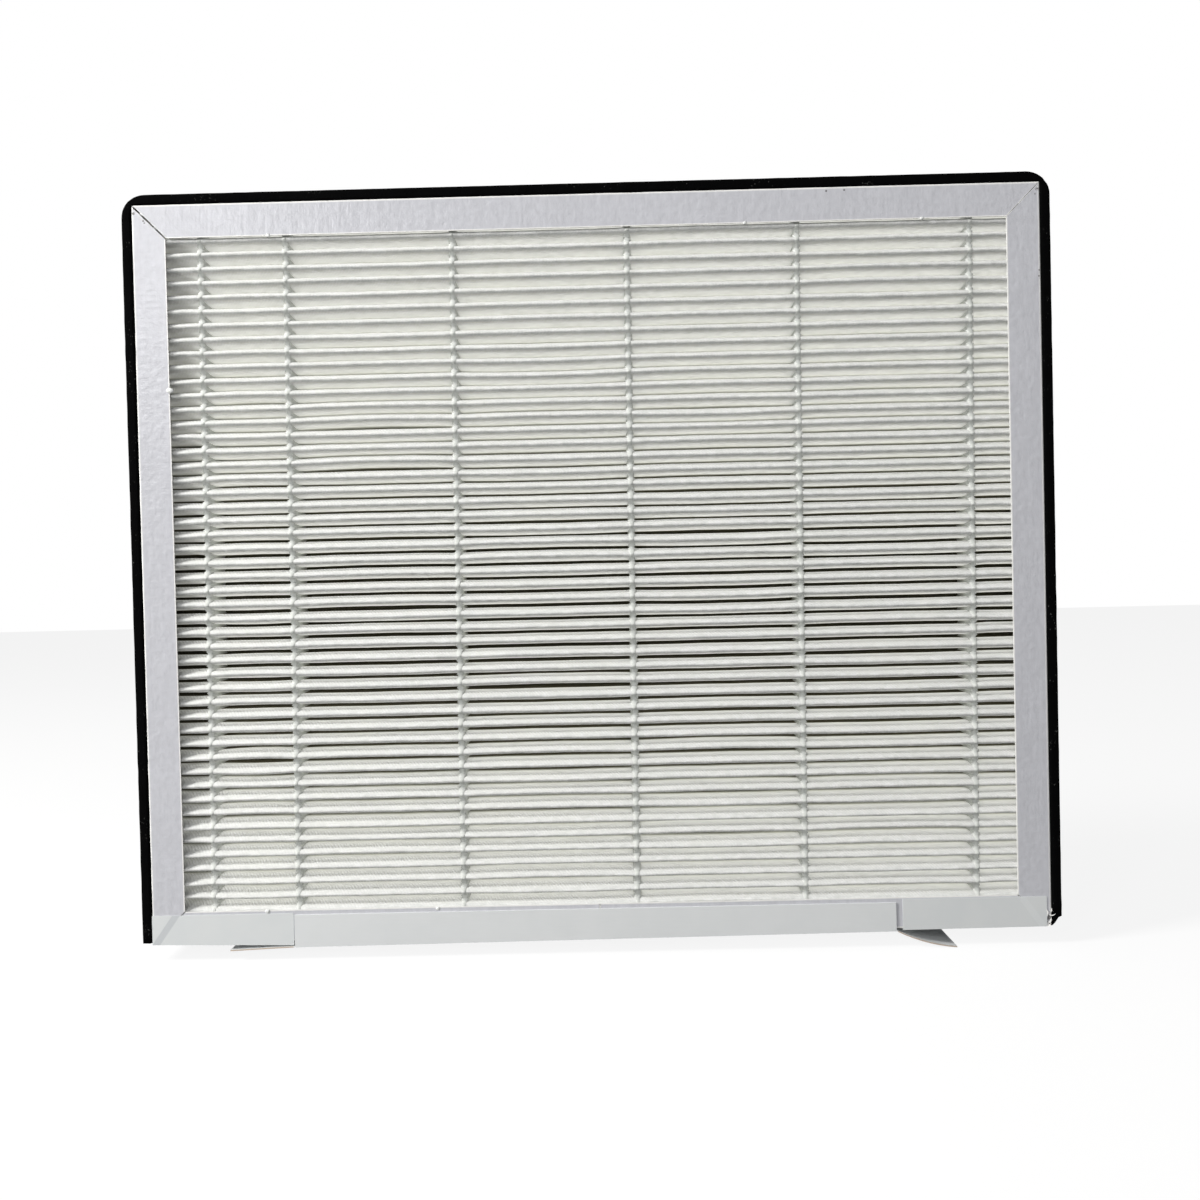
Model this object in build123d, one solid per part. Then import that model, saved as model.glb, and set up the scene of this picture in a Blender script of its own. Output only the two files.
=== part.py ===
from build123d import *
import math
import os

# Pleated air filter panel in a folded card frame, standing on its bottom side.
# X runs across the panel, Y through its depth with the front at -Y, Z is up.
# The origin lies under the middle of the panel, at its lowest point.

# Card frame: one scored strip bent round the pack, with a lip on each face.
frame_w = 350.0
frame_h = 287.0
frame_d = 30.0
card_t = 0.5
fold_r = 0.6
lip_side = 12.9
lip_top = 13.0
lip_bottom = 12.2
mitre_gap = 0.2
open_mitre_gap = 0.7
butt_gap = 0.4

# Pleated sheet: blunt folds on both faces and nearly parallel flanks.
pleat_pitch = 5.43
pleat_body = 3.74
nose_len = 4.2
sheet_t = 0.45
outer_facets = 4
inner_facets = 2
seal_side = 2.0
seal_top = 1.0
seal_bottom_least = 1.0

# Hot melt beads that hold the pleats apart, laid across both faces. Their
# places are measured from the left side of the frame.
bead_from_left = (24.8, 58.0, 122.8, 190.6, 256.2, 322.8)
bead_w = 1.9
bead_film = 0.4
bead_root = 1.9
bead_reach = 20.0
bead_lean = 0.35
bead_end_gap = 0.1

# Foam sealing strip round the left, top and right sides.
foam_t = 4.0
foam_w = 20.0
foam_corner_r = 9.0
foam_torn_w = 3.4
foam_torn_h = 3.6

# Closing strip: a card channel glued over the bottom side, with a loose ear
# at each end. Its ends are measured in from the sides of the frame, its drops
# down from the bottom.
strip_left_inset = 55.8
strip_right_inset = 60.2
strip_lap = 10.3
strip_drop_left = 2.4
strip_drop_right = 0.9
ear_left_len = 25.3
ear_left_drop = 3.4
ear_right_len = 23.3
ear_right_drop = 7.6
ear_right_mid_len = 12.9
ear_right_mid_drop = 5.8

# Corner tapes beside the closing strip.
tape_t = 0.2
tape_left_lap = 10.9
tape_left_gap = 0.4
tape_left_drop_outer = 0.5
tape_left_drop_inner = 1.6
tape_right_lap = 11.5
tape_right_gap = 2.6
tape_right_inset = 1.9
tape_right_drop_outer = 0.2
tape_right_drop_inner = 0.5

# What follows from them.
frame_z = ear_right_drop
front = -frame_d / 2
half_w = frame_w / 2
top_z = frame_z + frame_h
inner_h = frame_h - 2 * card_t
tip_y = front + card_t + bead_film
shoulder_y = tip_y + nose_len
body_half = pleat_body / 2
pack_half_w = half_w - card_t - seal_side
strip_left = strip_left_inset - half_w
strip_right = half_w - strip_right_inset
pack_room = inner_h - seal_top - seal_bottom_least - pleat_body
pleat_count = int(pack_room / pleat_pitch) + 1
top_tip_z = top_z - card_t - seal_top - body_half
tips = [top_tip_z - pleat_pitch * (pleat_count - 1 - i) for i in range(pleat_count)]
pack_low = tips[0] - body_half
pack_high = tips[-1] + body_half


def block(x, y, z):
    """A box between pairs of limits along each axis."""
    size = Box(x[1] - x[0], y[1] - y[0], z[1] - z[0])
    return Pos((x[0] + x[1]) / 2, (y[0] + y[1]) / 2, (z[0] + z[1]) / 2) * size


def slab(points, depth):
    """An outline drawn in X and Z, given a thickness through the panel's depth."""
    face = Plane.XZ * make_face(Polyline(*points, close=True))
    return extrude(face, amount=depth / 2, both=True)


def make_frame():
    """Folded card channel with mitred lips, its ends butting under the closing strip."""
    outer = block((-half_w, half_w), (front, -front), (frame_z, top_z))
    outer = fillet(outer.edges().filter_by(Axis.Y, reverse=True), fold_r)
    inside = block(
        (-half_w + card_t, half_w - card_t),
        (front + card_t, -front - card_t),
        (frame_z + card_t, top_z - card_t),
    )
    window = block(
        (-half_w + lip_side, half_w - lip_side),
        (2 * front, -2 * front),
        (frame_z + lip_bottom, top_z - lip_top),
    )
    shell = outer - inside - window
    for side in (-1, 1):
        for edge_z, lip in ((frame_z, lip_bottom), (top_z, -lip_top)):
            gap = open_mitre_gap if side < 0 < -lip else mitre_gap
            shell -= mitre_slots(side, edge_z, lip, gap)
    seam = block((-butt_gap / 2, butt_gap / 2), (2 * front, -2 * front), (0, frame_z + 2 * lip_bottom))
    return shell - seam


def mitre_slots(side, edge_z, lip, gap):
    """The slit between two lips at one corner, on the front and on the back."""
    length = math.hypot(lip_side, lip)
    angle = math.degrees(math.atan2(lip, -side * lip_side))
    slot = Pos(length / 2, 0, 0) * Box(length + 2 * gap, card_t, gap)
    slot = Rot(0, -angle, 0) * slot
    skin = -front - card_t / 2
    corner = [Pos(side * half_w, y, edge_z) * slot for y in (-skin, skin)]
    return corner[0] + corner[1]


def arch(tip, out, inset, facets):
    """Points of one fold's blunt nose, from below upwards. tip is its height, out is -1 at
    the front and 1 at the back, inset is how far the line lies inside the outer face."""
    radius = (nose_len ** 2 + body_half ** 2) / (2 * body_half)
    middle = radius - body_half
    reach = math.acos(middle / (radius - inset))
    lower = []
    for step in range(facets + 1):
        angle = reach * step / facets
        y = -out * shoulder_y + out * (radius - inset) * math.sin(angle)
        lower.append((y, (radius - inset) * math.cos(angle) - middle))
    below = [(y, tip - height) for y, height in lower]
    above = [(y, tip + height) for y, height in reversed(lower[:-1])]
    return below + above


def make_pack():
    """One sheet folded to and fro, ending in a flat leaf at the bottom and at the top."""
    back = -tip_y
    points = [(back, pack_low)]
    for number, tip in enumerate(tips, start=1):
        points += arch(tip, -1, 0, outer_facets)
        if number < pleat_count:
            points += arch(tip + pleat_pitch / 2, 1, sheet_t, inner_facets)
    points += [(back, pack_high), (back, pack_high - sheet_t)]
    for number, tip in enumerate(reversed(tips), start=1):
        points += reversed(arch(tip, -1, sheet_t, inner_facets))
        if number < pleat_count:
            points += reversed(arch(tip - pleat_pitch / 2, 1, 0, outer_facets))
    points.append((back, pack_low + sheet_t))
    face = Plane.YZ * make_face(Polyline(*points, close=True))
    return extrude(face, amount=pack_half_w, both=True)


def make_bead(place, out):
    """One bead: a thin film over the folds with a wedge in each valley between them."""
    valleys = [(a + b) / 2 for a, b in zip(tips, tips[1:])] if out < 0 else tips[1:-1]
    fold_y = -out * tip_y
    low = pack_low + bead_end_gap
    high = pack_high - bead_end_gap
    points = [(fold_y + out * bead_film, low), (fold_y, low)]
    for z in valleys:
        points.append((fold_y, z - bead_root / 2))
        points.append((fold_y - out * bead_reach, z))
        points.append((fold_y, z + bead_root / 2))
    points += [(fold_y, high), (fold_y + out * bead_film, high)]
    comb = extrude(Plane.YZ * make_face(Polyline(*points, close=True)), amount=bead_w / 2, both=True)
    middle = (low + high) / 2
    return Pos(place, 0, middle) * Rot(0, bead_lean, 0) * Pos(0, 0, -middle) * comb


def make_seals():
    """Hot melt between the pack and the four walls of the frame."""
    depth = (front + card_t, -front - card_t)
    low = frame_z + card_t
    high = top_z - card_t
    wall = half_w - card_t
    return {
        "edge_seal_left": block((-wall, -pack_half_w), depth, (low, high)),
        "edge_seal_right": block((pack_half_w, wall), depth, (low, high)),
        "edge_seal_bottom": block((-pack_half_w, pack_half_w), depth, (low, pack_low)),
        "edge_seal_top": block((-pack_half_w, pack_half_w), depth, (pack_high, high)),
    }


def make_foam():
    """One foam strip bent over both top corners, its right end torn at a slant."""
    outside = half_w + foam_t
    height = frame_h + foam_t
    band = Pos(0, frame_z + height / 2) * Rectangle(2 * outside, height)
    band = fillet(band.vertices().group_by(Axis.Y)[-1], foam_corner_r)
    band -= Pos(0, frame_z + frame_h / 2) * Rectangle(frame_w, frame_h)
    torn = [(outside - foam_torn_w, frame_z), (outside, frame_z), (outside, frame_z + foam_torn_h)]
    band -= make_face(Polyline(*torn, close=True))
    # The plane's normal points to the front, so the strip grows backwards.
    return extrude(Plane.XZ.offset(-front) * band, amount=-foam_w)


def channel(left, right, lap, drop_left, drop_right, wall):
    """A thin channel open upwards that wraps the bottom side of the frame."""
    lap_z = frame_z + lap
    low_left = frame_z - drop_left
    low_right = frame_z - drop_right
    outer = slab([(left, low_left), (right, low_right), (right, lap_z), (left, lap_z)], frame_d + 2 * wall)
    rise = 2 * wall
    hollow = [
        (left - rise, low_left + wall),
        (left, low_left + wall),
        (right, low_right + wall),
        (right + rise, low_right + wall),
        (right + rise, lap_z + rise),
        (left - rise, lap_z + rise),
    ]
    return outer - slab(hollow, frame_d)


def make_ear(lower, upper, foot):
    """A loose end of the strip's web: two like curves closed by its cut end."""
    rim = Line(lower @ 1, upper @ 1)
    root = Line(upper @ 0, lower @ 0)
    face = Plane.XZ * make_face([*lower.edges(), *rim.edges(), *upper.edges(), *root.edges()])
    return extrude(face, amount=foot / 2, both=True)


def make_closing_strip():
    """Card channel with its two loose ears, the right one bent down to the table."""
    strip = channel(strip_left, strip_right, strip_lap, strip_drop_left, strip_drop_right, card_t)
    root = (strip_left, frame_z - strip_drop_left)
    tip = (strip_left - ear_left_len, frame_z - ear_left_drop)
    curves = []
    for lift in (0, card_t):
        curves.append(Line((root[0], root[1] + lift), (tip[0], tip[1] + lift)))
    depth = frame_d + 2 * card_t
    left_ear = make_ear(curves[0], curves[1], depth)
    root = (strip_right, frame_z - strip_drop_right)
    middle = (strip_right + ear_right_mid_len, frame_z - ear_right_mid_drop)
    tip = (strip_right + ear_right_len, frame_z - ear_right_drop)
    curves = []
    for lift in (0, card_t):
        through = [(p[0], p[1] + lift) for p in (root, middle, tip)]
        curves.append(ThreePointArc(*through))
    right_ear = make_ear(curves[0], curves[1], depth)
    return strip + left_ear + right_ear


def make_strip_glue():
    """Hot melt between the bottom of the frame and the closing strip."""
    points = [
        (strip_left, frame_z),
        (strip_right, frame_z),
        (strip_right, frame_z - strip_drop_right + card_t),
        (strip_left, frame_z - strip_drop_left + card_t),
    ]
    return slab(points, frame_d - 2 * fold_r)


def make_tapes():
    """The two short tapes that wrap the bottom side from the corners to the strip."""
    left_end = strip_left - tape_left_gap
    right_end = strip_right + tape_right_gap
    left = channel(-half_w, left_end, tape_left_lap, tape_left_drop_outer, tape_left_drop_inner, tape_t)
    right = channel(
        right_end,
        half_w - tape_right_inset,
        tape_right_lap,
        tape_right_drop_inner,
        tape_right_drop_outer,
        tape_t,
    )
    return {"corner_tape_left": left, "corner_tape_right": right}


parts = {
    "card_frame": make_frame(),
    "pleated_media_pack": make_pack(),
    "foam_gasket": make_foam(),
    "closing_strip": make_closing_strip(),
    "closing_strip_glue": make_strip_glue(),
}
parts |= make_seals()
parts |= make_tapes()
for number, inset in enumerate(bead_from_left, start=1):
    place = inset - half_w
    parts[f"front_bead_{number}"] = make_bead(place, -1)
    parts[f"rear_bead_{number}"] = make_bead(place, 1)

os.makedirs("parts", exist_ok=True)
for name, shape in parts.items():
    export_step(shape, f"parts/{name}.step")
print(pleat_count, "pleats,", len(parts), "nodes")
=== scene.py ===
import math

import bmesh
import bpy
import numpy as np
from mathutils import Matrix, Vector


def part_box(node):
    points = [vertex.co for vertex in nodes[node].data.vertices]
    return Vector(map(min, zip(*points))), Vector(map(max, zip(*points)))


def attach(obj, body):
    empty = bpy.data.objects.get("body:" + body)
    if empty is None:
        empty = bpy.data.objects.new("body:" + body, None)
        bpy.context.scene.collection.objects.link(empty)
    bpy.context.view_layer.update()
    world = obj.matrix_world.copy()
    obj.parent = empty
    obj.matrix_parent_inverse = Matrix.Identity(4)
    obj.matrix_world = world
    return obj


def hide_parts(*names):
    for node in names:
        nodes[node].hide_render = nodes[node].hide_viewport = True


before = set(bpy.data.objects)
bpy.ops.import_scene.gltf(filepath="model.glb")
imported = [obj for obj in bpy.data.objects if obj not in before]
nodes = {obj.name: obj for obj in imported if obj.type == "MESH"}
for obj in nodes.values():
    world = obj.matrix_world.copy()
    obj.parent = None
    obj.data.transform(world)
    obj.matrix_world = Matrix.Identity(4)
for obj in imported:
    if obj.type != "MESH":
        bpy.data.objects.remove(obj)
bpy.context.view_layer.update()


# Studio: a white floor and a white surround, a window high on the left, a smaller one in
# front of it that gives the card its sheen, a weak one on the right and a dim room. The floor
# and the surround look white but give back little light, so that undersides stay grey.
class Wire:
    """A shader socket that adds its Math nodes when it is used in an expression."""

    def __init__(self, paint, socket):
        self.paint = paint
        self.socket = socket

    def _math(self, operation, *values):
        return self.paint.add("ShaderNodeMath", {"operation": operation}, dict(enumerate(values)))

    def __add__(self, other):
        return self._math("ADD", self, other)

    __radd__ = __add__

    def __sub__(self, other):
        return self._math("SUBTRACT", self, other)

    def __rsub__(self, other):
        return self._math("SUBTRACT", other, self)

    def __mul__(self, other):
        return self._math("MULTIPLY", self, other)

    __rmul__ = __mul__

    def __abs__(self):
        return self._math("ABSOLUTE", self)

    def sine(self):
        return self._math("SINE", self)

    def least(self, other):
        return self._math("MINIMUM", self, other)

    def most(self, other):
        return self._math("MAXIMUM", self, other)

    def ramp(self, low, high):
        """0 below low, 1 above high, smooth between."""
        sockets = {"Value": self, "From Min": low, "From Max": high}
        return self.paint.add("ShaderNodeMapRange", {"interpolation_type": "SMOOTHSTEP"}, sockets)


class Paint:
    """A material under construction."""

    def __init__(self, name):
        self.material = bpy.data.materials.new(name)
        self.material.use_nodes = True
        self.tree = self.material.node_tree
        self.tree.nodes.clear()
        self.output = self.tree.nodes.new("ShaderNodeOutputMaterial")
        self.place = self.add("ShaderNodeTexCoord", {}, {}, "Object")
        split = self.tree.nodes.new("ShaderNodeSeparateXYZ")
        self.tree.links.new(self.place.socket, split.inputs[0])
        self.x, self.y, self.z = (Wire(self, split.outputs[axis]) for axis in "XYZ")

    def add(self, kind, settings, sockets, output=0):
        node = self.tree.nodes.new(kind)
        for key, value in settings.items():
            setattr(node, key, value)
        for key, value in sockets.items():
            if isinstance(value, Wire):
                self.tree.links.new(value.socket, node.inputs[key])
            else:
                node.inputs[key].default_value = value
        return Wire(self, node.outputs[output])

    def grain(self, scale, detail=2.0, at=None):
        """Noise about 0.5 with a given number of grains to the metre."""
        sockets = {"Vector": at or self.place, "Scale": scale, "Detail": detail}
        return self.add("ShaderNodeTexNoise", {}, sockets)

    def stretch(self, x, y, z):
        """Object coordinates scaled along each axis."""
        return self.add("ShaderNodeMapping", {}, {"Vector": self.place, "Scale": (x, y, z)})

    def blend(self, amount, first, second):
        """Colour that goes from the first to the second as amount goes from 0 to 1."""
        node = self.tree.nodes.new("ShaderNodeMix")
        node.data_type = "RGBA"
        for key, value in ((0, amount), (6, first), (7, second)):
            if isinstance(value, Wire):
                self.tree.links.new(value.socket, node.inputs[key])
            else:
                node.inputs[key].default_value = value if key == 0 else (*value, 1.0)
        return Wire(self, node.outputs[2])

    def bump(self, height, depth):
        """Relief whose full height is depth metres."""
        return self.add("ShaderNodeBump", {}, {"Height": height, "Distance": depth, "Strength": 1.0})

    def surface(self, shader):
        self.tree.links.new(shader.socket, self.output.inputs["Surface"])
        return self.material

    def finish(self, colour, roughness, normal=None, constants=None, through=0.0):
        """Principled finish. through is the share of light that passes into the material."""
        sockets = {"Base Color": colour, "Roughness": roughness, **(constants or {})}
        soft = {"Color": colour}
        if normal:
            sockets["Normal"] = normal
            soft["Normal"] = normal
        shader = self.add("ShaderNodeBsdfPrincipled", {}, sockets)
        if through:
            passed = self.add("ShaderNodeBsdfTranslucent", {}, soft)
            shader = self.add("ShaderNodeMixShader", {}, {0: through, 1: shader, 2: passed})
        return self.surface(shader)


floor_reach = 4.0
floor_mesh = bpy.data.meshes.new("floor")
floor_corners = [(x * floor_reach, y * floor_reach, 0) for x, y in ((-1, -1), (1, -1), (1, 1), (-1, 1))]
floor_mesh.from_pydata(floor_corners, [], [(0, 1, 2, 3)])
floor = bpy.data.objects.new("floor", floor_mesh)
bpy.context.scene.collection.objects.link(floor)

floor_paint = Paint("floor_white")
seen = floor_paint.add("ShaderNodeLightPath", {}, {}, "Is Camera Ray")
mirrored = floor_paint.add("ShaderNodeLightPath", {}, {}, "Is Glossy Ray")
direct = seen.most(mirrored)
floor_colour = floor_paint.blend(direct, (0.22, 0.22, 0.22), (0.9, 0.9, 0.9))
floor_shade = floor_paint.add("ShaderNodeBsdfDiffuse", {}, {"Color": floor_colour})
floor_glow = floor_paint.add("ShaderNodeEmission", {}, {"Color": (1, 1, 1, 1), "Strength": 1.03})
floor_mix = floor_paint.add("ShaderNodeMixShader", {}, {0: direct * 0.86, 1: floor_shade, 2: floor_glow})
floor_mesh.materials.append(floor_paint.surface(floor_mix))

world = bpy.data.worlds.new("studio")
world.use_nodes = True
bpy.context.scene.world = world
sky = world.node_tree
sky_out = sky.nodes["World Output"]
room = sky.nodes["Background"]
room.inputs["Color"].default_value = (0.93, 0.96, 1.0, 1.0)
room.inputs["Strength"].default_value = 0.07
white = sky.nodes.new("ShaderNodeBackground")
white.inputs["Color"].default_value = (1, 1, 1, 1)
path = sky.nodes.new("ShaderNodeLightPath")
sky_mix = sky.nodes.new("ShaderNodeMixShader")
sky.links.new(path.outputs["Is Camera Ray"], sky_mix.inputs[0])
sky.links.new(room.outputs[0], sky_mix.inputs[1])
sky.links.new(white.outputs[0], sky_mix.inputs[2])
sky.links.new(sky_mix.outputs[0], sky_out.inputs["Surface"])


def window_light(name, place, size, power, colour):
    """A square soft lamp that faces the middle of the panel."""
    lamp = bpy.data.lights.new(name, "AREA")
    lamp.size = size
    lamp.energy = power
    lamp.color = colour
    holder = bpy.data.objects.new(name, lamp)
    holder.location = place
    holder.rotation_euler = (Vector((0, 0, 0.15)) - Vector(place)).to_track_quat("-Z", "Y").to_euler()
    bpy.context.scene.collection.objects.link(holder)


window_light("window_left", (-1.2, -0.55, 0.95), 0.42, 31.0, (1.0, 0.99, 0.97))
window_light("window_front", (-0.72, -1.45, 0.70), 0.35, 6.2, (0.98, 0.985, 1.0))
window_light("room_front", (0.35, -1.6, 0.75), 1.3, 4.6, (0.97, 0.98, 1.0))

# Camera: a phone held level with the lower half of the panel, less than half a metre away.
# The lens is worked out for the photograph's square frame, 1200 pixels wide.
image_px = 1200
focal_px = 1200
frame_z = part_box("card_frame")[0][2]
eye = Vector((0.0075, -0.4796, 0.1382 + frame_z))
tilt = math.radians(-0.981)
turn = math.radians(0.585)
roll = math.radians(-1.338)
camera_data = bpy.data.cameras.new("camera")
camera_data.sensor_width = 36.0
camera_data.lens = camera_data.sensor_width * focal_px / image_px
camera_data.clip_start = 0.01
camera = bpy.data.objects.new("camera", camera_data)
upright = Matrix.Rotation(math.pi / 2 + tilt, 4, "X") @ Matrix.Rotation(roll, 4, "Z")
camera.matrix_world = Matrix.Translation(eye) @ Matrix.Rotation(turn, 4, "Z") @ upright
bpy.context.scene.collection.objects.link(camera)
bpy.context.scene.camera = camera
bpy.context.scene.view_settings.view_transform = "Standard"


def dress(names, material):
    """Gives CAD nodes a finish in place of their plain one."""
    for name in names:
        piece = nodes[name]
        piece.data.materials.clear()
        piece.data.materials.append(material)


# Frame card: one strip of white coated board, scored, folded into a channel and bent round
# the pack. The coating is satin with a faint cross grain; the cut edges are paler, a painted
# highlight runs along the outer folds, and the front lips have a few dark scuffs.
card_low, card_high = (Vector(corner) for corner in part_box("card_frame"))
half_width = card_high.x
frame_height = card_high.z - card_low.z
fold_highlight_width = 0.0011
lip_side = 0.0129
lip_top = 0.0130
lip_bottom = 0.0122
# Rubbed dark spots on the front lips: place in X, height above the frame's foot, radius.
scuffs = (
    (0.0933, 0.2854, 0.0005),
    (0.1002, 0.2856, 0.0005),
    (0.1743, 0.2531, 0.0004),
    (0.1742, 0.2508, 0.0004),
    (0.1740, 0.2840, 0.0008),
    (0.1733, 0.2822, 0.0005),
    (-0.1741, 0.2838, 0.0008),
    (-0.1704, 0.2808, 0.0005),
    (-0.1700, 0.2800, 0.0004),
    (0.1742, 0.0030, 0.0017),
    (0.1750, 0.0014, 0.0016),
)


def card_finish(name, colour, warm):
    """Coated white board. warm is the colour of its thin and cut places and of the painted highlight along
    its outer folds.
    """
    paint = Paint(name)
    mottle = paint.grain(55, 3)
    fine = paint.grain(1500, 2)
    speckle = paint.grain(420, 3)
    fibre = paint.grain(900, 2, paint.stretch(1.0, 1.0, 0.12))
    cross = paint.grain(700, 2, paint.stretch(0.1, 1.0, 1.0))
    wide = abs(paint.x)
    up = paint.z - card_low.z
    past_side = wide - (half_width - fold_highlight_width)
    past_end = abs(up - frame_height / 2) - (frame_height / 2 - fold_highlight_width)
    # Painted highlight: the outer folds are made paler, more on the front face, where their round catches
    # the light.
    fold = past_side.most(past_end).ramp(0.0, 0.0009)
    fold = fold * (0.6 + 0.6 * paint.grain(260, 2)) * (paint.y.ramp(-0.0135, -0.0145) + 0.3)
    from_window = (wide - (half_width - lip_side)).most(up - (frame_height - lip_top)).most(lip_bottom - up)
    cut = 1 - from_window.ramp(0.00022, 0.00055)
    mitre = abs((half_width - wide) - (frame_height - up)) + 0.0004 * paint.x.ramp(-0.01, 0.01)
    corner = (1 - mitre.ramp(0.0006, 0.0010)) * (up - frame_height / 2).ramp(0.0, 0.01)
    # Pale cut edges and mitres, together with the painted highlight along the folds.
    pale_edge_and_fold_highlight = fold.most(cut * 0.9).most(corner * (0.25 + 0.5 * fine)).least(1.0)
    weave = ((fibre - 0.5) * 0.8 + (speckle - 0.5) * 1.4 + 0.5).ramp(0.2, 0.8)
    base = paint.blend(mottle.ramp(0.35, 0.7), colour, tuple(0.965 * c for c in colour))
    base = paint.blend(weave, tuple(0.92 * c for c in colour), base)
    base = paint.blend(pale_edge_and_fold_highlight, base, warm)
    stain = 0.0
    for x, height, radius in scuffs:
        spot = {0: paint.place, 1: (x, card_low.y, card_low.z + height)}
        away = paint.add("ShaderNodeVectorMath", {"operation": "DISTANCE"}, spot, "Value")
        stain = (1 - away.ramp(0.4 * radius, radius)).most(stain)
    base = paint.blend(stain * fine.ramp(0.35, 0.5), base, (0.11, 0.105, 0.10))
    # Painted shade: a dark line along each bottom mitre, where the narrow open gap lies in shade.
    mitre_gap_shade = 1 - abs((half_width - wide) * (lip_bottom / lip_side) - up).ramp(0.0002, 0.0004)
    mitre_gap_shade = mitre_gap_shade * (1 - up.ramp(lip_bottom, lip_bottom + 0.0002))
    base = paint.blend(mitre_gap_shade * 0.9, base, (0.05, 0.05, 0.055))
    relief = fibre * 0.4 + cross * 0.4 + mottle * 1.5 + speckle * 1.2 + fine * 0.3
    rough = 0.25 + 0.1 * mottle
    return paint.finish(base, rough, paint.bump(relief, 0.00013), {"Specular IOR Level": 0.43})


frame_card = card_finish("frame_card", (0.603, 0.605, 0.640), (0.92, 0.91, 0.88))
dress(["card_frame"], frame_card)

# Closing strip: a second piece of the same kind of board, greyer, glued over the bottom
# side. Its two ears are not glued; they show the board's brown core along the cut edge.
strip_paint = Paint("strip_card")
strip_tone = strip_paint.grain(60, 3)
strip_fine = strip_paint.grain(900, 2, strip_paint.stretch(0.15, 1.0, 1.0))
strip_white = strip_paint.blend(strip_tone.ramp(0.35, 0.7), (0.755, 0.769, 0.769), (0.729, 0.746, 0.746))
strip_middle = -0.0022
strip_half = 0.1173
past_strip = (abs(strip_paint.x - strip_middle) - strip_half).ramp(0.0, 0.0006)
cut_edge = past_strip * abs(strip_paint.y).ramp(0.01535, 0.01548)
strip_colour = strip_paint.blend(cut_edge, strip_white, (0.55, 0.46, 0.38))
strip_finish = strip_paint.finish(
    strip_colour,
    0.45 + 0.1 * strip_tone,
    strip_paint.bump(strip_fine + strip_tone * 1.5, 0.00003),
    {"Specular IOR Level": 0.45},
)
dress(["closing_strip"], strip_finish)

# Corner tapes: thin smooth paper tape, a little bluer than the card. The mitre under each
# one shows through as a soft band, grey on the left and pale on the right.
band_slope = 0.707
band_left = 0.00175
band_right = 0.00345
tape_paint = Paint("corner_tape")
tape_tone = tape_paint.grain(70, 3)
tape_white = tape_paint.blend(tape_tone.ramp(0.35, 0.7), (0.722, 0.739, 0.735), (0.696, 0.718, 0.718))
on_right = tape_paint.x.ramp(-0.01, 0.01)
band_place = band_slope * (tape_paint.z - frame_z) + band_left + (band_right - band_left) * on_right
from_mitre = abs(half_width - abs(tape_paint.x) - band_place)
band = 1 - from_mitre.ramp(0.0012, 0.0019)
tape_colour = tape_paint.blend(band * (1 - on_right) * 0.8, tape_white, (0.54, 0.56, 0.575))
tape_colour = tape_paint.blend(band * on_right * 0.35, tape_colour, (0.80, 0.82, 0.82))
tape_finish = tape_paint.finish(
    tape_colour,
    0.36 + 0.1 * tape_tone,
    tape_paint.bump(tape_tone, 0.00006),
    {"Specular IOR Level": 0.5},
)
dress(["corner_tape_left", "corner_tape_right"], tape_finish)

# Foam: black closed-cell strip bent over both top corners, its left end cut and its right
# end torn at a slant. Cut cells give its faces a fine dull grain, with pale specks of dust.
foam_low, foam_high = (Vector(corner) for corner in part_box("foam_gasket"))
foam_thick = foam_high.x - half_width
foam_round = 0.009
foam_step = 0.004
corner_steps = 10
foam_ripple = 0.00008
tear = 0.0036
tear_fray = 0.0005
cut_fray = 0.00015
# Points round the cut strip: share of the thickness from the frame side, and place across
# the width as a share of half of it.
foam_section = (
    (0.0, -1.0),
    (0.3, -1.002),
    (0.65, -1.0),
    (0.88, -0.995),
    (0.97, -0.982),
    (1.0, -0.955),
    (1.0, -0.5),
    (1.0, 0.0),
    (1.0, 0.5),
    (1.0, 0.955),
    (0.97, 0.982),
    (0.88, 0.995),
    (0.65, 1.0),
    (0.3, 1.002),
    (0.0, 1.0),
)
dice = np.random.default_rng(23)

foam_paint = Paint("black_foam")
cells = foam_paint.add("ShaderNodeTexVoronoi", {}, {"Vector": foam_paint.place, "Scale": 1900.0})
foam_tone = foam_paint.grain(300, 3)
speck = foam_paint.grain(1500, 1).ramp(0.70, 0.76) * foam_paint.grain(90, 2).ramp(0.5, 0.65)
foam_colour = foam_paint.blend(foam_tone, (0.0006, 0.0006, 0.0006), (0.0022, 0.0022, 0.0025))
foam_colour = foam_paint.blend(speck * 0.6, foam_colour, (0.16, 0.16, 0.15))
foam_finish = foam_paint.finish(
    foam_colour,
    0.9,
    foam_paint.bump(cells, 0.00012),
    {"Specular IOR Level": 0.03},
)


def new_piece(name, verts, faces, material):
    mesh = bpy.data.meshes.new(name)
    mesh.from_pydata(verts, [], faces)
    mesh.materials.append(material)
    piece = bpy.data.objects.new(name, mesh)
    bpy.context.scene.collection.objects.link(piece)
    return piece


def tube_faces(rings, size):
    """Side faces between rings of points."""
    faces = []
    for row in range(rings - 1):
        for k in range(size):
            a, b = row * size + k, row * size + (k + 1) % size
            faces.append((a, b, b + size, a + size))
    return faces


def close_and_face_out(piece):
    """Fills the two open ends and turns every face outwards."""
    work = bmesh.new()
    work.from_mesh(piece.data)
    bmesh.ops.holes_fill(work, edges=[e for e in work.edges if e.is_boundary], sides=0)
    bmesh.ops.recalc_face_normals(work, faces=work.faces)
    work.to_mesh(piece.data)
    work.free()


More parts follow.
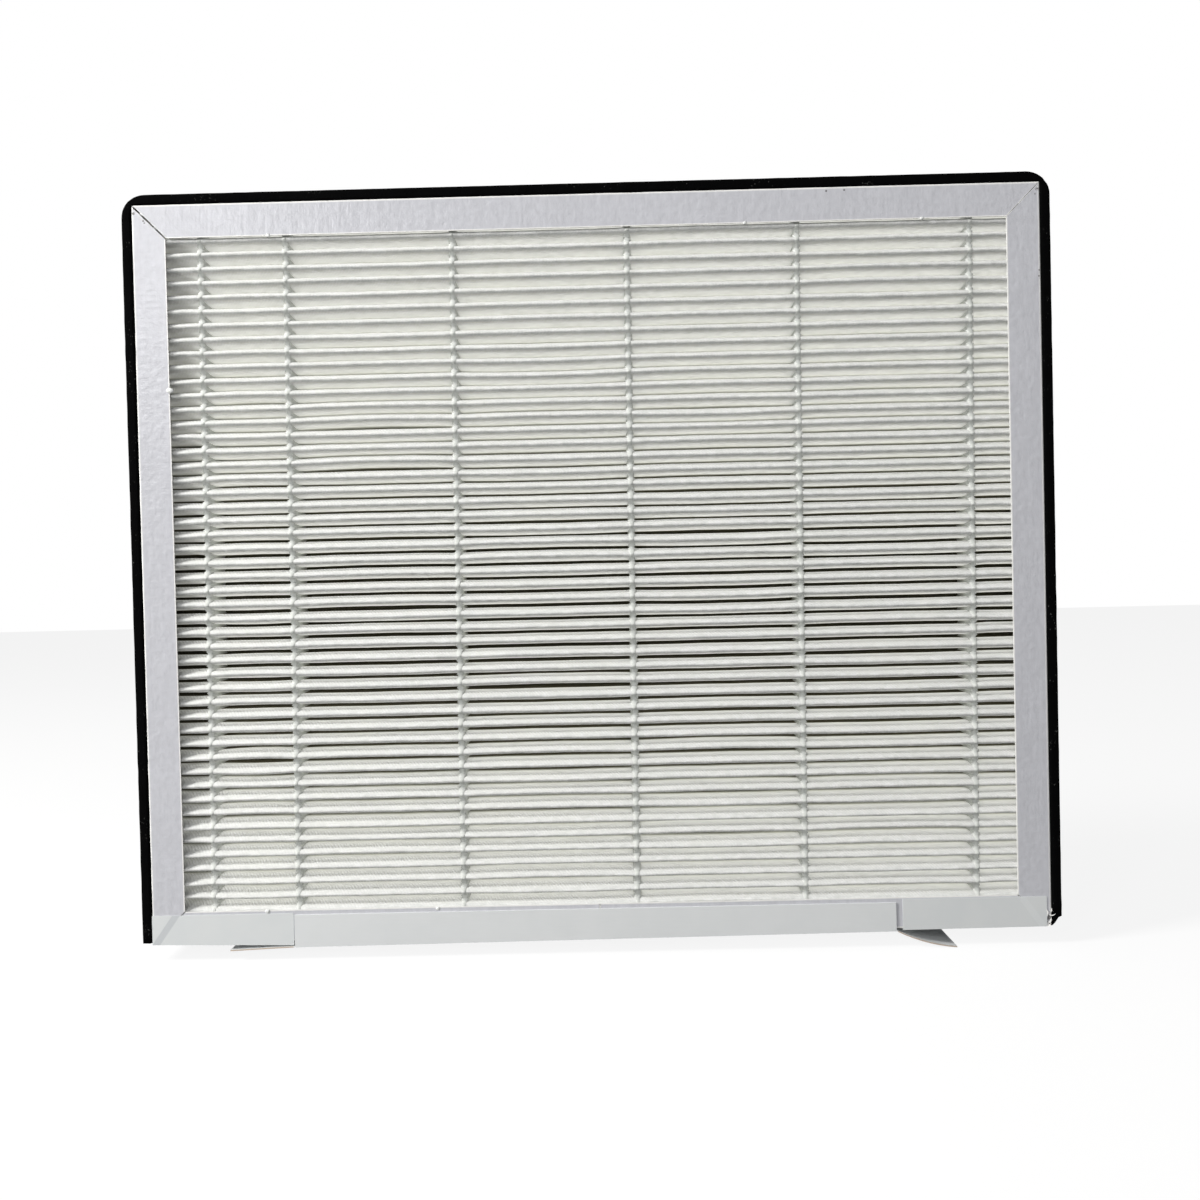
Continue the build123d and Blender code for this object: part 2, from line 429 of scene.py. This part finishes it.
def foam_path():
    """Pairs of points on the frame side and the outer side, from the left end to the right."""
    hub_x = foam_high.x - foam_round
    hub_z = foam_high.z - foam_round
    inner_round = foam_round - foam_thick
    rise = math.ceil((hub_z - frame_z) / foam_step)
    right = []
    for k in range(rise):
        z = frame_z + (hub_z - frame_z) * k / rise
        right.append(((half_width, z), (foam_high.x, z)))
    for k in range(corner_steps + 1):
        turned = math.pi / 2 * k / corner_steps
        c, s = math.cos(turned), math.sin(turned)
        inner = inner_round / max(c, s)
        frame_point = (hub_x + inner * c, hub_z + inner * s)
        right.append((frame_point, (hub_x + foam_round * c, hub_z + foam_round * s)))
    left = [((-a[0], a[1]), (-b[0], b[1])) for a, b in right]
    pieces = math.ceil(2 * hub_x / foam_step)
    top = []
    for k in range(1, pieces):
        x = -hub_x + 2 * hub_x * k / pieces
        top.append(((x, foam_high.z - foam_thick), (x, foam_high.z)))
    return [*left, *top, *right[::-1]]


foam_stations = foam_path()
foam_last = len(foam_stations) - 1
foam_middle = (foam_low.y + foam_high.y) / 2
foam_half = (foam_high.y - foam_low.y) / 2
foam_verts = []
for number, (inner, outer) in enumerate(foam_stations):
    ripple = dice.normal(0.0, foam_ripple, 3)
    for share, across in foam_section:
        x = inner[0] + (outer[0] - inner[0]) * share
        y = foam_middle + across * foam_half + ripple[0 if across < 0 else 1]
        z = inner[1] + (outer[1] - inner[1]) * share
        if 0 < share < 1 and 0 < number < foam_last:
            x += ripple[2] * 0.3
            z += ripple[2] * 0.3
        if number == foam_last:
            z += tear * share + (abs(dice.normal(0.0, tear_fray)) if share > 0.2 else 0.0)
        if number == foam_last - 1:
            z += 0.35 * tear * share
        if number == 0:
            z += abs(dice.normal(0.0, cut_fray))
        foam_verts.append((x, y, z))
foam_faces = tube_faces(len(foam_stations), len(foam_section))
foam_piece = new_piece("foam_seal", foam_verts, foam_faces, foam_finish)
close_and_face_out(foam_piece)
for face in foam_piece.data.polygons:
    face.use_smooth = len(face.vertices) == 4
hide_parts("foam_gasket")
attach(foam_piece, "root")

# Hot melt: milky glue in the channel of the frame, under the closing strip, and in a few
# drops on the lips. Each run in the channel has shrunk into a hollow behind the lips.
melt_back = 0.0118
melt_hollow = 0.0009
melt_step = 0.005
melt_wobble = 0.0004
# Points round a run: share of the way from the card to the sheet, front or rear, set back.
melt_section = (
    (0.0, -1, 0.0),
    (0.45, -1, melt_hollow),
    (1.0, -1, 0.0004),
    (1.0, 1, 0.0004),
    (0.45, 1, melt_hollow),
    (0.0, 1, 0.0),
)
# Drops on the edge of the window: place in X, height above the frame's foot, radius.
drops = (
    (-0.1222, 0.2740, 0.0007),
    (-0.1296, 0.0118, 0.0008),
    (-0.0632, 0.0116, 0.0007),
    (0.1298, 0.2740, 0.0006),
    (0.0619, 0.2740, 0.0006),
    (-0.1618, 0.2152, 0.0011),
    (0.0991, 0.0004, 0.0004),
)

melt_paint = Paint("hot_melt")
melt_tone = melt_paint.grain(220, 2)
melt_colour = melt_paint.blend(melt_tone, (0.74, 0.755, 0.73), (0.84, 0.85, 0.83))
melt_finish = melt_paint.finish(
    melt_colour,
    0.38,
    melt_paint.bump(melt_tone, 0.0002),
    {"Specular IOR Level": 0.5},
)
dress(["closing_strip_glue"], melt_finish)


def melt_run(name, node):
    """A run of glue between the card and the edge of the sheet."""
    near, far = (Vector(corner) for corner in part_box(node))
    size = far - near
    along = 0 if size.x > size.z else 2
    across = 2 - along
    centre = (near[across] + far[across]) / 2
    outward = centre > (card_low[across] + card_high[across]) / 2
    wall, edge = (far[across], near[across]) if outward else (near[across], far[across])
    steps = math.ceil(size[along] / melt_step)
    verts = []
    for k in range(steps + 1):
        wobble = dice.normal(0.0, melt_wobble, 2)
        for share, side, hollow in melt_section:
            point = [0.0, side * (melt_back - hollow + wobble[0 if side < 0 else 1]), 0.0]
            point[along] = near[along] + size[along] * k / steps
            point[across] = wall + (edge - wall) * share
            verts.append(point)
    run = new_piece(name, verts, tube_faces(steps + 1, len(melt_section)), melt_finish)
    close_and_face_out(run)
    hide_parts(node)
    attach(run, "root")


for side in ("left", "right", "bottom", "top"):
    melt_run(f"melt_run_{side}", f"edge_seal_{side}")

drop_work = bmesh.new()
for x, height, radius in drops:
    made = bmesh.ops.create_icosphere(drop_work, subdivisions=2, radius=radius)
    for vert in made["verts"]:
        vert.co *= 1 + dice.normal(0.0, 0.10)
        vert.co.x *= 1.25
        vert.co.y *= 0.35
        vert.co += Vector((x, card_low.y - 0.00005, frame_z + height))
drop_mesh = bpy.data.meshes.new("glue_drops")
drop_work.to_mesh(drop_mesh)
drop_work.free()
drop_mesh.materials.append(melt_finish)
drop_mesh.shade_smooth()
glue_drops = bpy.data.objects.new("glue_drops", drop_mesh)
bpy.context.scene.collection.objects.link(glue_drops)
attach(glue_drops, "root")

# Torn fibres: pale curled flakes of board and tape where the lower right corner was rubbed
# open. Each one is a short bent strip that tapers and stands off the board in its middle.
# Foot in X, height above the frame's foot, length, direction in degrees, width.
flakes = (
    (0.1729, 0.0040, 0.0030, 75, 0.0007),
    (0.1735, 0.0012, 0.0026, 40, 0.0006),
    (0.1741, 0.0044, 0.0022, -20, 0.0005),
    (0.1732, 0.0002, 0.0018, 10, 0.0005),
    (0.1745, 0.0055, 0.0016, 60, 0.0004),
)
flake_steps = 6
flake_bend = 0.9
flake_lift = 0.00024
flake_thick = Vector((0.0, 0.00006, 0.0))
flake_verts = []
flake_faces = []
for x, height, length, degrees, width in flakes:
    start = len(flake_verts)
    foot = Vector((x, card_low.y - 0.00012, frame_z + height))
    for k in range(flake_steps + 1):
        share = k / flake_steps
        bent = math.radians(degrees) + flake_bend * (share - 0.5)
        taper = 1.1 - share + 0.25 * dice.random()
        middle = foot + Vector((math.cos(bent), 0.0, math.sin(bent))) * length * share
        aside = Vector((-math.sin(bent), 0.0, math.cos(bent))) * width / 2 * taper
        raised = middle - aside - Vector((0.0, flake_lift * math.sin(math.pi * share) ** 2, 0.0))
        flat = middle + aside
        flake_verts += [raised - flake_thick, flat - flake_thick, flat + flake_thick, raised + flake_thick]
    flake_faces += [tuple(start + corner for corner in face) for face in tube_faces(flake_steps + 1, 4)]

fibre_paint = Paint("torn_fibre")
fibre_tone = fibre_paint.grain(1800, 3)
fibre_colour = fibre_paint.blend(fibre_tone.ramp(0.35, 0.65), (0.62, 0.60, 0.57), (0.93, 0.93, 0.91))
fibre_finish = fibre_paint.finish(fibre_colour, 0.85, fibre_paint.bump(fibre_tone, 0.0001))
torn_fibres = new_piece("torn_fibres", flake_verts, flake_faces, fibre_finish)
close_and_face_out(torn_fibres)
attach(torn_fibres, "root")


# Filter sheet: one soft white sheet folded to and fro. A single pleat is drawn as a strip
# of faces and repeated up the pack, then every fold is let sway and swell a little, as the
# soft sheet does between its beads. Each fold is fuller above its crest than below it.
pack_low, pack_high = (Vector(corner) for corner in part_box("pleated_media_pack"))
pitch = 0.00543
sheet = 0.00045
tip_y = pack_low.y
pack_middle = (pack_low.z + pack_high.z) / 2
count = round((pack_high.z - pack_low.z) / pitch)
first_tip = pack_middle - pitch * (count - 1) / 2
bead_places = (-0.1502, -0.1170, -0.0522, 0.0156, 0.0812, 0.1478)
bead_lean = math.tan(math.radians(0.35))
cell_steps = (3, 5, 7, 7, 7, 7, 3)
# Within this distance of either end leaf the folds come to rest, the last of it quite still.
rest_zone = 0.003
still_zone = 0.0003
wave = 0.00005
# Outer faces of a fold: depth behind the crest and height from it, in millimetres.
above = ((0, 0), (0.12, 0.33), (0.5, 0.7), (1.2, 1.05), (3.0, 1.72), (6.0, 2.24), (10.0, 2.15), (14.1, 1.58))
below = ((0, 0), (0.14, 0.38), (0.5, 0.7), (1.1, 0.92), (2.5, 1.18), (5.5, 1.60), (10.5, 2.02), (14.1, 1.58))


def middle_line(outer):
    """The middle of the sheet's thickness inside an outer face, in metres."""
    line = [(sheet / 2, 0.0)]
    for before, here, after in zip(outer, outer[1:], outer[2:]):
        run, rise = after[0] - before[0], after[1] - before[1]
        length = math.hypot(run, rise)
        line.append((here[0] / 1000 + sheet / 2 * rise / length, here[1] / 1000 - sheet / 2 * run / length))
    return [*line, (-tip_y, pitch / 4)]


def pleat_profile():
    """One pleat from the rear crest below to the rear crest above, as (y, height) pairs."""
    path = []
    for side, outer in ((-1, below), (1, above)):
        front = middle_line(outer)
        rear = [(-2 * tip_y - depth, pitch / 2 - height) for depth, height in reversed(front[:-1])]
        half = [*front, *[rear[k] for k in (1, 3, 4, 5, 6)]]
        half = [(tip_y + depth, side * height) for depth, height in half]
        path = [*path, *(half[1:] if side > 0 else half[::-1])]
    return path


def stations():
    """Places across the sheet, closest beside each bead."""
    stops = [-pack_high.x, *bead_places, pack_high.x]
    across = []
    for left, right, steps in zip(stops, stops[1:], cell_steps):
        for k in range(steps):
            share = k / steps
            share = 0.6 * share + 0.4 * (0.5 - 0.5 * math.cos(math.pi * share))
            across.append(left + (right - left) * share)
    return [*across, pack_high.x]


def repeater():
    """A tree that stacks its own geometry up the pack and welds the joins."""
    tree = bpy.data.node_groups.new("stack_up", "GeometryNodeTree")
    sides = tree.interface
    sides.new_socket("Unit", in_out="INPUT", socket_type="NodeSocketGeometry")
    sides.new_socket("Count", in_out="INPUT", socket_type="NodeSocketInt")
    sides.new_socket("Start", in_out="INPUT", socket_type="NodeSocketFloat")
    sides.new_socket("Pitch", in_out="INPUT", socket_type="NodeSocketFloat")
    sides.new_socket("Finish", in_out="INPUT", socket_type="NodeSocketMaterial")
    sides.new_socket("Stack", in_out="OUTPUT", socket_type="NodeSocketGeometry")
    entry = tree.nodes.new("NodeGroupInput")
    end = tree.nodes.new("NodeGroupOutput")
    line = tree.nodes.new("GeometryNodeMeshLine")
    begin = tree.nodes.new("ShaderNodeCombineXYZ")
    step = tree.nodes.new("ShaderNodeCombineXYZ")
    lay = tree.nodes.new("GeometryNodeInstanceOnPoints")
    real = tree.nodes.new("GeometryNodeRealizeInstances")
    weld = tree.nodes.new("GeometryNodeMergeByDistance")
    weld.inputs["Distance"].default_value = 0.00001
    coat = tree.nodes.new("GeometryNodeSetMaterial")
    for source, target in (
        (entry.outputs["Count"], line.inputs["Count"]),
        (entry.outputs["Start"], begin.inputs["Z"]),
        (entry.outputs["Pitch"], step.inputs["Z"]),
        (begin.outputs[0], line.inputs["Start Location"]),
        (step.outputs[0], line.inputs["Offset"]),
        (line.outputs[0], lay.inputs["Points"]),
        (entry.outputs["Unit"], lay.inputs["Instance"]),
        (lay.outputs[0], real.inputs[0]),
        (real.outputs[0], weld.inputs[0]),
        (weld.outputs[0], coat.inputs[0]),
        (entry.outputs["Finish"], coat.inputs["Material"]),
        (coat.outputs[0], end.inputs[0]),
    ):
        tree.links.new(source, target)
    return tree


stack_tree = repeater()


def bake(piece):
    """Turns a piece with its modifiers into a plain mesh."""
    bpy.context.view_layer.update()
    graph = bpy.context.evaluated_depsgraph_get()
    solid = bpy.data.meshes.new_from_object(piece.evaluated_get(graph))
    piece.modifiers.clear()
    solid.name = piece.data.name
    piece.data = solid


def stack(piece, copies, start, step, material):
    """Runs the tree on a piece and leaves the result as its plain mesh."""
    modifier = piece.modifiers.new("stack", "NODES")
    modifier.node_group = stack_tree
    keys = {item.name: item.identifier for item in stack_tree.interface.items_tree if item.in_out == "INPUT"}
    modifier[keys["Count"]] = copies
    modifier[keys["Start"]] = start
    modifier[keys["Pitch"]] = step
    modifier[keys["Finish"]] = material
    bake(piece)


dice = np.random.default_rng(11)
fold_shift = dice.normal(0.0, 0.00011, count + 4)
cell_shift = dice.normal(0.0, 0.00022, (count + 4, len(cell_steps)))
cell_swell = dice.normal(0.00005, 0.00018, (count + 4, len(cell_steps)))
crest_dip = np.abs(dice.normal(0.0, 0.00012, (count + 4, len(cell_steps))))


def sway(points):
    """Moves points of the pack as the soft folds lie: each fold a little off its pitch, and
    bowed up or down, swollen and set back between its beads, which hold it."""
    row = np.clip((points[:, 2] - first_tip) / pitch + 2, 0, count + 2.999)
    under = np.floor(row).astype(int)
    part = row - under
    part = part * part * (3 - 2 * part)
    x = points[:, 0] - (points[:, 2] - pack_middle) * bead_lean
    stops = np.array([-pack_high.x, *bead_places, pack_high.x])
    cell = np.clip(np.searchsorted(stops, x) - 1, 0, len(cell_steps) - 1)
    along = np.clip((x - stops[cell]) / (stops[cell + 1] - stops[cell]), 0, 1)
    slack = np.sin(np.pi * along) ** 0.8

    def own(table):
        return table[under, cell] * (1 - part) + table[under + 1, cell] * part

    shift = fold_shift[under] * (1 - part) + fold_shift[under + 1] * part
    depth = np.clip((points[:, 1] - tip_y) / (-2 * tip_y), 0, 1)
    rise = shift + slack * own(cell_shift) + wave * np.sin(x * 210 + under * 1.7)
    rise += slack * own(cell_swell) * np.sin(np.pi * depth)
    room = np.minimum(points[:, 2] - pack_low.z, pack_high.z - points[:, 2])
    points[:, 2] += rise * np.clip((room - still_zone) / rest_zone, 0, 1)
    points[:, 1] += slack * own(crest_dip) * np.cos(np.pi * depth) * np.clip(room / rest_zone, 0, 1)
    return points


def reshape(piece, change):
    """Runs a function over a piece's points."""
    mesh = piece.data
    points = np.empty(len(mesh.vertices) * 3)
    mesh.vertices.foreach_get("co", points)
    mesh.vertices.foreach_set("co", change(points.reshape(-1, 3)).ravel())
    mesh.update()


profile = pleat_profile()
places = stations()
wide = len(places)
runs = [0.0]
for (y0, z0), (y1, z1) in zip(profile, profile[1:]):
    runs.append(runs[-1] + math.hypot(y1 - y0, z1 - z0))
unit_verts = [(x, y, z) for y, z in profile for x in places]
unit_faces = [
    (row * wide + k, row * wide + k + 1, (row + 1) * wide + k + 1, (row + 1) * wide + k)
    for row in range(len(profile) - 1)
    for k in range(wide - 1)
]


def sheet_finish(name, out):
    """Felt with an embossed twill. The light that crosses the thin sheet and goes to and fro
    between two folds is painted in as a glow that fills each valley: most on the faces that look
    down, little at the mouth and in the depth. out is -1 for the front face and 1 for the rear face."""
    paint = Paint(name)
    run = paint.add("ShaderNodeAttribute", {"attribute_name": "run"}, {}, "Fac")
    flank = paint.add("ShaderNodeAttribute", {"attribute_name": "flank"}, {}, "Fac")
    fuzz = paint.grain(2600, 3)
    clump = paint.grain(420, 3)
    cloud = paint.grain(45, 2)
    twill = ((paint.x * 0.86 + run * 0.45 + 0.0006 * clump) * (2 * math.pi / 0.0011)).sine()
    depth = -tip_y - paint.y * out
    facing_down = (flank * out).ramp(-0.3, 0.5)
    embossed = (0.25 + 0.75 * depth.ramp(0.0012, 0.004)) * (1 - 0.9 * facing_down)
    tone = 0.5 + 0.8 * embossed * twill * clump.ramp(0.3, 0.65) + 1.2 * (clump - 0.5) + 1.0 * (fuzz - 0.5)
    colour = paint.blend(tone.ramp(0.0, 1.0), (0.84, 0.85, 0.82), (0.99, 0.99, 0.975))
    colour = paint.blend(cloud.ramp(0.4, 0.7) * 0.4, colour, (0.93, 0.935, 0.89))
    # Painted shade: a grey band on the down-facing face just under each crest, where light from above does
    # not fall.
    under_crest_shade = facing_down * depth.ramp(0.00008, 0.0003) * (1 - depth.ramp(0.0006, 0.0014))
    colour = paint.blend(under_crest_shade * 0.6, colour, (0.60, 0.62, 0.635))
    # Painted shade: deep in each valley the sheet turns dark olive, where little light reaches.
    colour = paint.blend(depth.ramp(0.0155, 0.022), colour, (0.23, 0.215, 0.15))
    relief = paint.bump(twill * embossed * 0.7 + clump * 1.6 + fuzz * 0.5, 0.00008)
    # Painted light: an emitted glow stands in for light bounced between the folds, strongest part way into
    # the valley.
    down_glow = depth.ramp(0.0009, 0.0062) * (1 - depth.ramp(0.0085, 0.018)) * 0.80 + 0.07
    up_glow = depth.ramp(0.0012, 0.0055) * (1 - depth.ramp(0.008, 0.0155)) * 0.64
    # Painted highlight: a glint along each crest, given as glow.
    glint = paint.grain(600, 3, paint.stretch(0.4, 1.0, 1.0)).ramp(0.45, 0.62)
    sparkle = (1 - depth.ramp(0.0002, 0.0009)) * glint
    glow = down_glow * facing_down + up_glow * (1 - facing_down)
    # Painted shade: less glow in the leftmost cells, which the left lip shades.
    glow = glow * (1 - depth.ramp(0.015, 0.020)) * (1 - 0.65 * (0 - paint.x).ramp(0.1505, 0.158))
    warmth = paint.blend(depth.ramp(0.007, 0.014), (0.95, 0.95, 0.925), (0.95, 0.94, 0.83))
    strength = (glow * (0.6 + 0.74 * tone.ramp(0.0, 1.0)) + sparkle * 0.26).least(1.0)
    lit = paint.blend(strength, (0.0, 0.0, 0.0), warmth)
    constants = {"Specular IOR Level": 0.25, "Emission Color": lit, "Emission Strength": 0.49}
    return paint.finish(colour, 0.85, relief, constants, through=0.27)


sheet_front = sheet_finish("filter_sheet", -1)
sheet_rear = sheet_finish("filter_sheet_rear", 1)

media = new_piece("filter_sheet_pack", unit_verts, unit_faces, sheet_front)
crest_run = runs[len(profile) // 2]
for key, values in (
    ("run", [abs(r - crest_run) for r in runs]),
    ("flank", [math.sin(math.pi * (r - crest_run) / crest_run) for r in runs]),
):
    mark = media.data.attributes.new(key, "FLOAT", "POINT")
    mark.data.foreach_set("value", [value for value in values for _ in places])
stack(media, count, first_tip, pitch, sheet_front)
media.data.materials.append(sheet_rear)


def lay_flat_ends(points):
    """The half folds past the last pleats lie flat as the end leaves of the sheet."""
    points[:, 2] = np.clip(points[:, 2], pack_low.z + sheet / 2, pack_high.z - sheet / 2)
    return sway(points)


reshape(media, lay_flat_ends)
wall = media.modifiers.new("wall", "SOLIDIFY")
wall.thickness = sheet
wall.offset = 0.0
wall.material_offset = 1
bake(media)
media.data.shade_smooth()
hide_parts("pleated_media_pack")
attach(media, "root")

# Beads: hot melt run across the sheet before it was folded. Each one is a thin film over
# every crest, and the halves on facing flanks are fused into a web that fills the valley.
bead_deep = 0.020
film = 0.0003
crest_half = 0.00082
root_half = 0.0017
waist_half = 0.00085
web_set_back = 0.0013
web_bow = 0.0005
web_round = 0.0006
web_sides = 7
bead_bite = 0.00006
gap_low = above[5][1] / 1000
gap_high = pitch - below[6][1] / 1000

bead_paint = Paint("separator_bead")
bead_tone = bead_paint.grain(500, 2)
bead_colour = bead_paint.blend(bead_tone.ramp(0.3, 0.7), (0.70, 0.715, 0.685), (0.79, 0.805, 0.775))
# The beads carry a faint painted glow that lifts their shaded sides.
bead_finish = bead_paint.finish(
    bead_colour,
    0.55,
    bead_paint.bump(bead_tone, 0.00012),
    {"Specular IOR Level": 0.5, "Emission Color": (0.93, 0.93, 0.88, 1.0), "Emission Strength": 0.03},
    through=0.3,
)


def fold_depth(height):
    """How far the outer face lies behind the crest plane at a height above a crest."""
    outer, beside = (above, height) if height < pitch / 2 else (below, pitch - height)
    for (d0, h0), (d1, h1) in zip(outer, outer[1:]):
        if h1 > h0 and beside <= h1 / 1000:
            return (d0 + (d1 - d0) * (beside * 1000 - h0) / (h1 - h0)) / 1000
    return None


def bead_ring(height):
    """Section of a bead at a height above a crest: places in X and depths behind the crest."""
    depth = fold_depth(height)
    spread = math.sin(math.pi * height / pitch)
    hollow = web_set_back + web_bow * spread**4
    face = hollow if depth is None else min(depth - film, hollow)
    back = bead_deep if depth is None else depth + bead_bite
    half = crest_half + (root_half - crest_half) * spread**3
    if depth is None:
        from_middle = abs(height - (gap_low + gap_high) / 2) / ((gap_high - gap_low) / 2)
        half = waist_half + (0.85 * root_half - waist_half) * from_middle**2
    ring = []
    for k in range(web_sides):
        side = math.cos(math.pi * k / (web_sides - 1))
        round_off = (1 - math.sqrt(max(0.0, 1 - side * side))) * min(web_round, back - face)
        ring.append((side * half, face + round_off, height))
    ring.append((-half, back, height))
    ring.append((half, back, height))
    return ring


def make_bead(name, node, place, out):
    """out is -1 for the front and 1 for the rear, where the folds are the same turned over."""
    gap = [gap_low + (gap_high - gap_low) * share for share in (0.0, 0.02, 0.2, 0.5, 0.8, 0.98, 1.0)]
    heights = (0, 0.0004, 0.0009, 0.0014, 0.0018, *gap)
    heights = (*heights, pitch - 0.0014, pitch - 0.0010, pitch - 0.0006, pitch - 0.0003, pitch)
    rings = [bead_ring(height) for height in heights]
    size = len(rings[0])
    verts = [(x, out * (-tip_y - depth), -out * z) for ring in rings for x, depth, z in ring]
    piece = new_piece(name, verts, tube_faces(len(rings), size), bead_finish)
    if out < 0:
        stack(piece, count - 1, first_tip, pitch, bead_finish)
    else:
        stack(piece, count - 2, first_tip + pitch * (count - 1.5), -pitch, bead_finish)

    def settle(points):
        points[:, 0] += place + (points[:, 2] - pack_middle) * bead_lean
        return sway(points)

    reshape(piece, settle)
    close_and_face_out(piece)
    piece.data.shade_smooth()
    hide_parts(node)
    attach(piece, "root")


for number, place in enumerate(bead_places, start=1):
    make_bead(f"bead_front_{number}", f"front_bead_{number}", place, -1)
    make_bead(f"bead_rear_{number}", f"rear_bead_{number}", place, 1)
